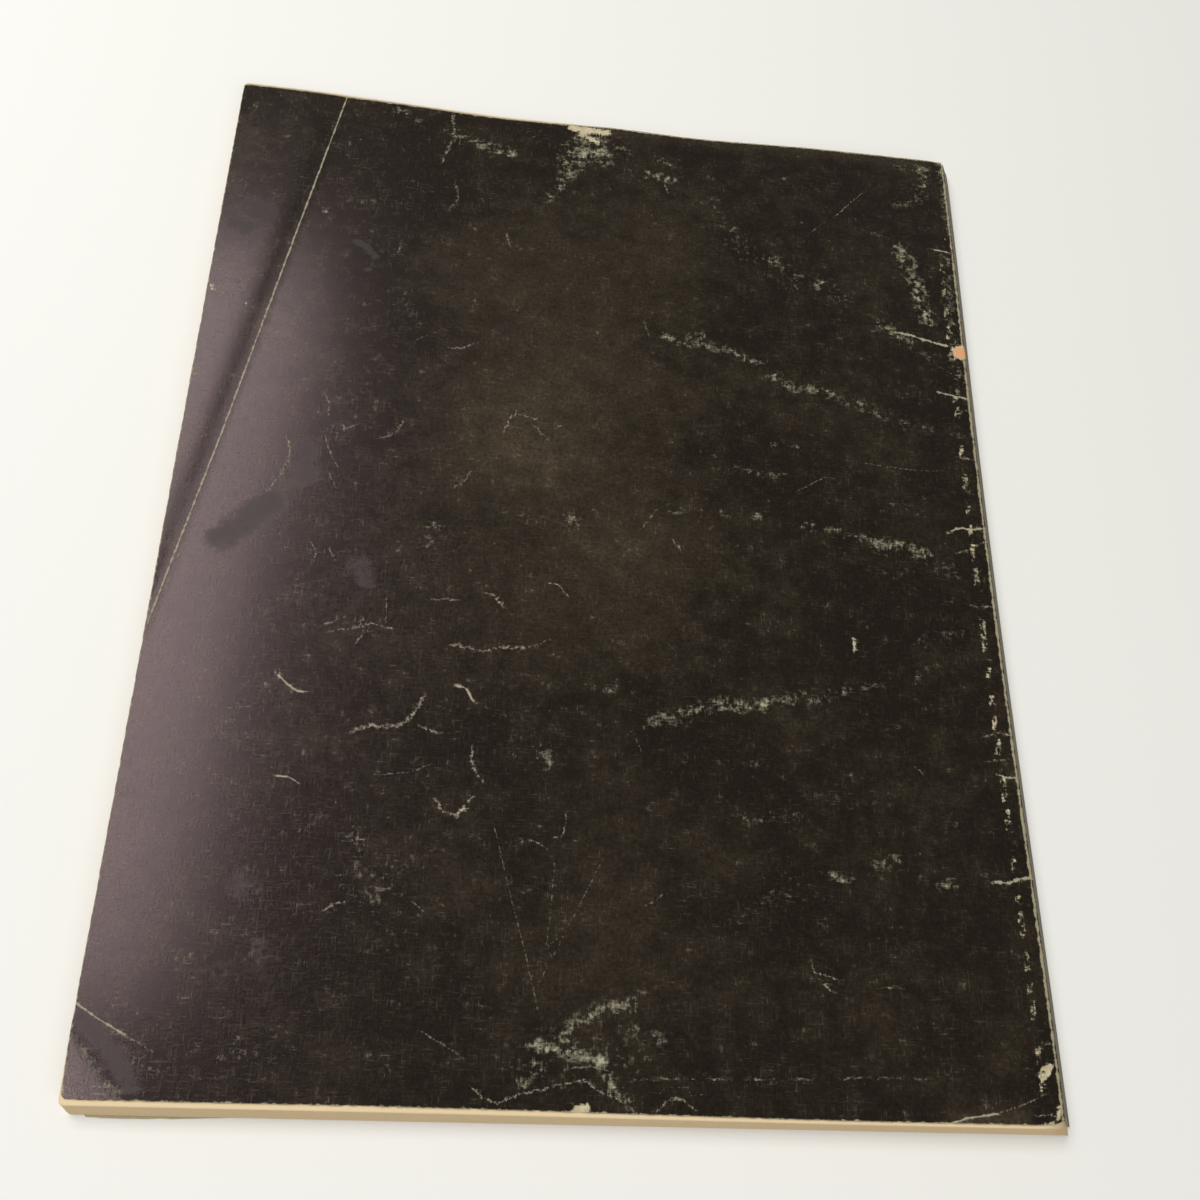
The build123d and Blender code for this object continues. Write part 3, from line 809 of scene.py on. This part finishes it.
def makeSheet(name, sLines, vLines, place, facesUp, marks):
    # A closed sheet of card over a grid: outer face, inner face and the cut edge between
    s, v = [g.ravel() for g in np.meshgrid(sLines, vLines, indexing="ij")]
    ragged = np.abs(sheet["raggedEdge"] * (waves(s, v, 3.1, 11) + waves(s, v, 1.9, 12)))
    sheetS, sheetV = roundForeCorners(s, v, sheetHeight, sheet["cornerRadius"])
    sheetS = sheetS + np.where(s == 0, ragged, 0)
    sheetV = sheetV + np.where(v == 0, ragged, 0) - np.where(v == vLines[-1], ragged, 0)
    outer = np.stack(place(sheetS, sheetV), 1)
    step = 0.05
    alongS = np.subtract(place(sheetS + step, sheetV), place(sheetS - step, sheetV)).T
    alongV = np.subtract(place(sheetS, sheetV + step), place(sheetS, sheetV - step)).T
    normal = np.cross(alongS, alongV) * (1 if facesUp else -1)
    normal /= np.linalg.norm(normal, axis=1, keepdims=True)
    inner = outer - normal * book["card"]
    outerQuads, innerQuads, rim = closedSheet(len(sLines), len(vLines), facesUp)
    points = np.concatenate([outer, inner]) * mm
    mesh = newMesh(name, points.tolist(), np.concatenate([outerQuads, innerQuads, rim]).tolist())
    flat = np.concatenate([np.stack([s, v], 1)] * 2)
    uv = mesh.uv_layers.new(name="cardPlane")
    loops = np.zeros(len(mesh.loops), np.int32)
    mesh.loops.foreach_get("vertex_index", loops)
    uv.data.foreach_set("uv", (flat[loops] * mm).astype(np.float32).ravel())
    for key, field in marks(s, v).items():
        kind, slot = ("FLOAT_VECTOR", "vector") if field.ndim == 2 else ("FLOAT", "value")
        values = np.concatenate([field, field]).astype(np.float32)
        mesh.attributes.new(key, kind, "POINT").data.foreach_set(slot, values.ravel())
    mesh.materials.append(printedCard)
    mesh.materials.append(insideCard)
    counts = [len(outerQuads), len(innerQuads), len(rim)]
    mesh.polygons.foreach_set("material_index", np.repeat([0, 1, 0], counts).astype(np.int32))
    mesh.polygons.foreach_set("use_smooth", np.repeat([True, True, False], counts))
    mesh.update()
    mesh.validate()
    print(name, "has", len(mesh.polygons), "faces")
    return addPiece(name, mesh)


def backMarks(s, v):
    lineA, lineB = lineFields(s, v, [longFoldLine, *cracked])
    dashes = [(0.86, 1.1, (211.4, low), (211.8, high)) for low, high in spineDashes]
    crumbs = [(0.62 * strength, 1.3, *places) for strength, width, *places in cracked
              if 0.28 < width < 0.7]  # ink crumbled away along the wider cracks
    rub = np.maximum(softField(s, v, rubbed, 1.8), softField(s, v, crumbs))
    return {"rub": rub, "bare": softField(s, v, bared + dashes), "stain": softField(s, v, darkSmudgesAndShade),
            "warm": softField(s, v, warmed), "lineA": lineA, "lineB": lineB}


frontWear = {"seed": 5, "rubs": 46, "cracks": 22}  # plain handling wear on the hidden side


def frontMarks(s, v):
    rng = np.random.default_rng(frontWear["seed"])
    rubs = []
    cracks = []
    for _ in range(frontWear["rubs"]):
        x, y = rng.uniform(0, 212), rng.uniform(0, 278)
        heading = rng.uniform(-0.5, 0.5)
        reach = rng.uniform(2, 11)
        end = (x + reach * math.cos(heading), y + reach * math.sin(heading))
        rubs.append((rng.uniform(0.3, 0.85), rng.uniform(0.8, 2.4), (x, y), end))
    for _ in range(frontWear["cracks"]):
        x, y = rng.uniform(5, 205), rng.uniform(5, 272)
        heading = rng.uniform(0, math.pi)
        reach = rng.uniform(1.5, 6)
        end = (x + reach * math.cos(heading), y + reach * math.sin(heading))
        cracks.append((rng.uniform(0.5, 0.9), rng.uniform(0.15, 0.4), (x, y), end))
    cracks.append((1.0, 0.35, (0.2, 14), (13, 0.2)))
    lineA, lineB = lineFields(s, v, cracks)
    bareCorners = [(0.9, 1.2, (1, 1)), (0.9, 1.2, (1, 278))]
    warmPatches = [(0.7, 30.0, (100, 150)), (0.5, 22.0, (60, 220))]
    dullPatches = [(0.5, 6.0, (60, 90)), (0.5, 5.0, (150, 200))]
    return {"rub": softField(s, v, rubs), "bare": softField(s, v, bareCorners),
            "stain": softField(s, v, dullPatches), "warm": softField(s, v, warmPatches),
            "lineA": lineA, "lineB": lineB}


# The grid of each cover is closer where the card turns a fold
headToTail = gridLines(sheetHeight, sheet["backStep"])
foldLines = np.linspace(sheetWidth - 2.2, backSheetEnd(), 26)
backS = np.unique(np.concatenate([gridLines(sheetWidth, sheet["backStep"])[:-4], foldLines]))
backSheet = makeSheet("back_cover_sheet", backS, headToTail, backPlace, True, backMarks)
footBend = math.pi - spineSlope
footStart = sheetWidth - book["footRadius"] * math.tan(footBend / 2)
foldLines = np.linspace(footStart, footStart + book["footRadius"] * footBend, 12)
frontS = gridLines(sheetWidth, sheet["frontStep"])[:-4]
frontS = np.unique(np.concatenate([frontS[frontS <= footStart - 0.2], foldLines]))
headToTail = gridLines(sheetHeight, sheet["frontStep"])
frontSheet = makeSheet("front_cover_sheet", frontS, headToTail, frontPlace, False, frontMarks)
print("cover sheets made")


# Leaves of the book, repeated up the leaning stack
leaves = {
    "count": 64,
    "share": 0.93,  # of each step that is paper
    "jitter": 0.07,  # how unevenly the leaves were gathered
    "turn": 0.0002,  # radians
    "cornerRadius": 1.2,
    "seed": 4,
    "tailTop": 1.5,  # how far the first leaf shows beyond the back cover at the tail
    "tailBottom": 3.05,
    "foreTop": 0.07,
    "headTop": 0.15,
    "foreReach": 2.6,  # how far the lowest leaf lies out past the lean at the fore-edge
}
stackBottom = frontLow.z + book["card"] + book["underLeaves"]
stackTop = bookTop - book["headroom"] - book["card"] - book["air"]
leanX = (frontLow.x - backLow.x) * (stackTop - stackBottom) / bookTop
leanY = leaves["tailBottom"] - leaves["tailTop"]


def makeLeaf():
    # One leaf at the foot of the stack, with what each point needs to fit under the cover
    foreX = backLow.x + leaves["foreTop"]
    tailY = backLow.y - leaves["tailTop"]
    width = glueLow.x - foreX
    height = sheetHeight + leaves["headTop"] + leaves["tailTop"]
    fromEdge = [0, 0.4, 1, 2, 5, 12]
    sLines = [*fromEdge, 24, 40, 58, 76, 94, 112, 130, 148, 166, 184, 200, 210, width]
    vLines = [*fromEdge, 25, 45, 70, 95, 120, 145, 170, 195, 220, 240, 255, 267, 274,
              height - 2, height - 1, height - 0.4, height]
    s, v = [g.ravel() for g in np.meshgrid(sLines, vLines, indexing="ij")]
    s, v = roundForeCorners(s, v, height, leaves["cornerRadius"])
    x, y = foreX + s, tailY + v
    coverS = np.clip(x - backLow.x, 0, sheetWidth - 1)
    under = coverHeight(coverS, np.clip(y - backLow.y, 0, sheetHeight)) - book["card"] - book["air"]
    fields = {
        "toEdge": np.minimum(np.minimum(s, v), height - v),
        "squeeze": (under - stackBottom) / (stackTop - stackBottom),
        "headDip": (headEdge(s) + 0.55 * (1 - smooth(90, 112, s))) * smooth(height - 60, height, v),
        "foreReach": 1 - smooth(0, 60, s),
        "tailSag": -0.4 * smooth(60, 180, s) * (1 - smooth(0, 40, v)),
    }
    x = x - bowAt(v) * smooth(60, sheetWidth, s)
    thickness = (stackTop - stackBottom) / leaves["count"] * leaves["share"]
    lower = np.stack([x + leanX, y - leanY, np.full(len(s), stackBottom)], 1)
    points = np.concatenate([lower, lower + np.array([0, 0, thickness])]) * mm
    lowerQuads, upperQuads, rim = closedSheet(len(sLines), len(vLines), False)
    faces = np.concatenate([lowerQuads, upperQuads, rim])
    mesh = newMesh("leaf", points.tolist(), faces.tolist())
    for key, field in fields.items():
        values = np.concatenate([field, field]).astype(np.float32)
        mesh.attributes.new(key, "FLOAT", "POINT").data.foreach_set("value", values)
    onRim = np.arange(len(faces)) >= len(faces) - len(rim)
    rimField = mesh.attributes.new("rim", "FLOAT", "FACE")
    rimField.data.foreach_set("value", onRim.astype(np.float32))
    mesh.polygons.foreach_set("use_smooth", ~onRim)
    mesh.update()
    return addPiece("leaf", mesh)


def leafStackTree():
    tree = bpy.data.node_groups.new("stackOfLeaves", "GeometryNodeTree")
    kinds = {
        "Leaf": "NodeSocketGeometry", "Count": "NodeSocketInt", "Step": "NodeSocketVector",
        "Jitter": "NodeSocketFloat", "Turn": "NodeSocketFloat", "Floor": "NodeSocketFloat",
        "Fore Reach": "NodeSocketFloat", "Seed": "NodeSocketInt", "Material": "NodeSocketMaterial",
    }
    sockets = {}
    for key, kind in kinds.items():
        sockets[key] = tree.interface.new_socket(key, in_out="INPUT", socket_type=kind)
    tree.interface.new_socket("Stack", in_out="OUTPUT", socket_type="NodeSocketGeometry")
    given = tree.nodes.new("NodeGroupInput").outputs
    out = tree.nodes.new("NodeGroupOutput")
    inputs = {"Count": given["Count"], "Offset": given["Step"]}
    line = addNode(tree, "GeometryNodeMeshLine", inputs, mode="OFFSET").outputs[0]
    index = tree.nodes.new("GeometryNodeInputIndex").outputs[0]
    last = calc(tree, "SUBTRACT", given["Count"], 1.0)
    share = calc(tree, "DIVIDE", index, last)

    def randomFloat(low, high, salt):
        node = addNode(tree, "FunctionNodeRandomValue", {}, data_type="FLOAT")
        setInput(tree, node, 2, low)
        setInput(tree, node, 3, high)
        setInput(tree, node, "Seed", calc(tree, "ADD", given["Seed"], salt))
        return node.outputs[1]

    def eitherWay(amount, salt):
        return randomFloat(calc(tree, "MULTIPLY", amount, -1.0), amount, salt)

    def moved(geometry, x, y, z):
        offset = addNode(tree, "ShaderNodeCombineXYZ", {0: x, 1: y, 2: z}).outputs[0]
        inputs = {"Geometry": geometry, "Offset": offset}
        return addNode(tree, "GeometryNodeSetPosition", inputs).outputs[0]

    def store(geometry, name, value):
        inputs = {"Geometry": geometry, "Name": name, "Value": value}
        kind = "GeometryNodeStoreNamedAttribute"
        return addNode(tree, kind, inputs, data_type="FLOAT", domain="POINT").outputs[0]

    points = moved(line, eitherWay(given["Jitter"], 0.0), eitherWay(given["Jitter"], 1.0), 0.0)
    points = store(points, "leafTone", randomFloat(0.0, 1.0, 2.0))
    points = store(points, "leafShare", share)
    twist = addNode(tree, "ShaderNodeCombineXYZ", {2: eitherWay(given["Turn"], 3.0)}).outputs[0]
    inputs = {"Points": points, "Instance": given["Leaf"], "Rotation": twist}
    placed = addNode(tree, "GeometryNodeInstanceOnPoints", inputs)
    real = addNode(tree, "GeometryNodeRealizeInstances", {"Geometry": placed.outputs[0]}).outputs[0]

    def named(name):
        inputs = {"Name": name}
        kind = "GeometryNodeInputNamedAttribute"
        return addNode(tree, kind, inputs, data_type="FLOAT").outputs[0]

    position = tree.nodes.new("GeometryNodeInputPosition").outputs[0]
    height = addNode(tree, "ShaderNodeSeparateXYZ", {0: position}).outputs[2]
    rise = calc(tree, "SUBTRACT", height, given["Floor"])
    drop = calc(tree, "MULTIPLY", rise, calc(tree, "SUBTRACT", named("squeeze"), 1.0))
    along = calc(tree, "MULTIPLY_ADD", named("tailSag"), named("leafShare"), named("headDip"))
    outward = calc(tree, "SUBTRACT", named("leafShare"), 1.0)
    outward = calc(tree, "MULTIPLY", named("foreReach"), outward)
    outward = calc(tree, "MULTIPLY", outward, given["Fore Reach"])
    fitted = moved(real, outward, calc(tree, "MULTIPLY", along, mm), drop)
    inputs = {"Geometry": fitted, "Material": given["Material"]}
    painted = addNode(tree, "GeometryNodeSetMaterial", inputs)
    tree.links.new(painted.outputs[0], out.inputs[0])
    return tree, sockets


def madePlain(source, name):
    # Turns what the modifiers make into a plain mesh of its own
    bpy.context.view_layer.update()
    graph = bpy.context.evaluated_depsgraph_get()
    mesh = bpy.data.meshes.new_from_object(
        source.evaluated_get(graph), preserve_all_data_layers=True, depsgraph=graph)
    mesh.name = name
    bpy.data.objects.remove(source)
    print(name, "has", len(mesh.polygons), "faces")
    return addPiece(name, mesh)


leaf = makeLeaf()
stackTree, stackSockets = leafStackTree()
modifier = leaf.modifiers.new("stack", "NODES")
modifier.node_group = stackTree
step = Vector((-leanX, leanY, stackTop - stackBottom)) * mm / leaves["count"]
values = {
    "Count": leaves["count"], "Step": step, "Jitter": leaves["jitter"] * mm,
    "Turn": leaves["turn"], "Floor": stackBottom * mm, "Fore Reach": leaves["foreReach"] * mm,
    "Seed": leaves["seed"], "Material": newsprint,
}
for key, value in values.items():
    modifier[stackSockets[key].identifier] = value
pageLeaves = madePlain(leaf, "page_leaves")
print("pages stacked")


# Glue film between the leaves and the spine of the cover
def makeGlueFilm():
    lengthwise = np.linspace(glueLow.y + glue["endGap"], glueHigh.y - glue["endGap"], glue["rows"])
    heights = np.linspace(stackBottom + 0.02, stackTop - 0.06, glue["columns"])
    y, z = [g.ravel() for g in np.meshgrid(lengthwise, heights, indexing="ij")]
    lean = (frontSpineX - backSpineX) / bookTop * (bookTop - z)
    x = backSpineX + lean - book["card"] / math.sin(spineSlope) - 0.03 - bowAt(y - backLow.y)
    inX = x - glue["thickness"] - glue["ripple"] * np.sin(y * 0.7 + z)
    points = np.concatenate([np.stack([inX, y, z], 1), np.stack([x, y, z], 1)]) * mm
    faces = np.concatenate(closedSheet(glue["rows"], glue["columns"], False))
    mesh = newMesh("binding_glue", points.tolist(), faces.tolist())
    mesh.materials.append(agedGlue)
    mesh.update()
    return addPiece("binding_glue", mesh)


glueFilm = makeGlueFilm()
print("glue made")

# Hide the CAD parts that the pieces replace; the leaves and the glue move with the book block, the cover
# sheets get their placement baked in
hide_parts("back_cover", "cover_wrap")
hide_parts("front_cover")
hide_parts("page_block")
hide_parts("spine_glue")
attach(pageLeaves, "book_block")
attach(glueFilm, "book_block")
for piece, body in ((backSheet, "back_cover"), (frontSheet, "front_cover")):
    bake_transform(piece)


# Plain pale table
table = {
    "dark": tone(236, 236, 231),
    "light": tone(240, 239, 236),
    "half": 3.0,  # half its width, in metres
}


def makeTable():
    material, tree, shader = newMaterial("table_top")
    place = addNode(tree, "ShaderNodeTexCoord", {}).outputs["Object"]
    cloud = noiseOf(tree, place, 2.0, 2.0, 0.5)
    setInput(tree, shader, "Base Color", mixColour(tree, cloud, table["dark"], table["light"]))
    shader.inputs["Roughness"].default_value = 0.7
    shader.inputs["Specular IOR Level"].default_value = 0.2
    half = table["half"]
    corners = [(-half, -half, 0), (half, -half, 0), (half, half, 0), (-half, half, 0)]
    mesh = newMesh("table_top", corners, [(0, 1, 2, 3)])
    mesh.materials.append(material)
    return addPiece("table_top", mesh)


makeTable()

# Lights: a broad soft window to the fore-edge side, a small one that catches the bent corner,
# a soft one towards the tail, and an even room
room = {
    "world": 0.225, "worldTone": (1.0, 0.98, 0.86, 1.0),
    "windowPower": 26.9, "windowSize": (1.1, 1.28), "windowAt": (-0.912, 0.70, 1.5),
    "windowTurn": 4.5,  # degrees
    "cardPower": 4.2, "cardSize": (0.42, 0.36), "cardAt": (-0.74, -0.28, 1.5),
    "fillPower": 14.0, "fillSize": (1.8, 1.2), "fillAt": (0.5, -1.4, 1.5),
}


def makeLight(name, power, size, place, target=(0, 0, 0)):
    data = bpy.data.lights.new(name, "AREA")
    data.shape = "RECTANGLE"
    data.size, data.size_y = size
    data.energy = power
    light = bpy.data.objects.new(name, data)
    light.location = place
    light.rotation_euler = (Vector(target) - Vector(place)).to_track_quat("-Z", "Y").to_euler()
    bpy.context.scene.collection.objects.link(light)
    return light


window = makeLight("window", room["windowPower"], room["windowSize"], room["windowAt"])
window.rotation_euler = Euler((0, 0, -math.radians(room["windowTurn"])))  # faces straight down
makeLight("reflector", room["cardPower"], room["cardSize"], room["cardAt"], (-0.1, -0.13, 0))
makeLight("fill", room["fillPower"], room["fillSize"], room["fillAt"])
world = bpy.data.worlds.new("room")
world.use_nodes = True
background = world.node_tree.nodes["Background"]
background.inputs["Color"].default_value = room["worldTone"]
background.inputs["Strength"].default_value = room["world"]
bpy.context.scene.world = world
bpy.context.scene.view_settings.view_transform = "Standard"

# Camera, held above the tail with the book a little askew below it
view = {
    "lens": 36.85,
    "fromCorner": (74.1, -8.9, 280.9),  # mm from the back cover's corner at fore-edge and tail
    "turn": (24.197, -7.567, 0.975),  # degrees
}
cameraData = bpy.data.cameras.new("camera")
cameraData.lens = view["lens"]
cameraData.sensor_width = 36.0
cameraData.clip_start = 0.01
camera = bpy.data.objects.new("camera", cameraData)
camera.location = (Vector((backLow.x, backLow.y, bookTop)) + Vector(view["fromCorner"])) * mm
camera.rotation_euler = Euler([math.radians(angle) for angle in view["turn"]])
bpy.context.scene.collection.objects.link(camera)
bpy.context.scene.camera = camera
print("lights and camera set")
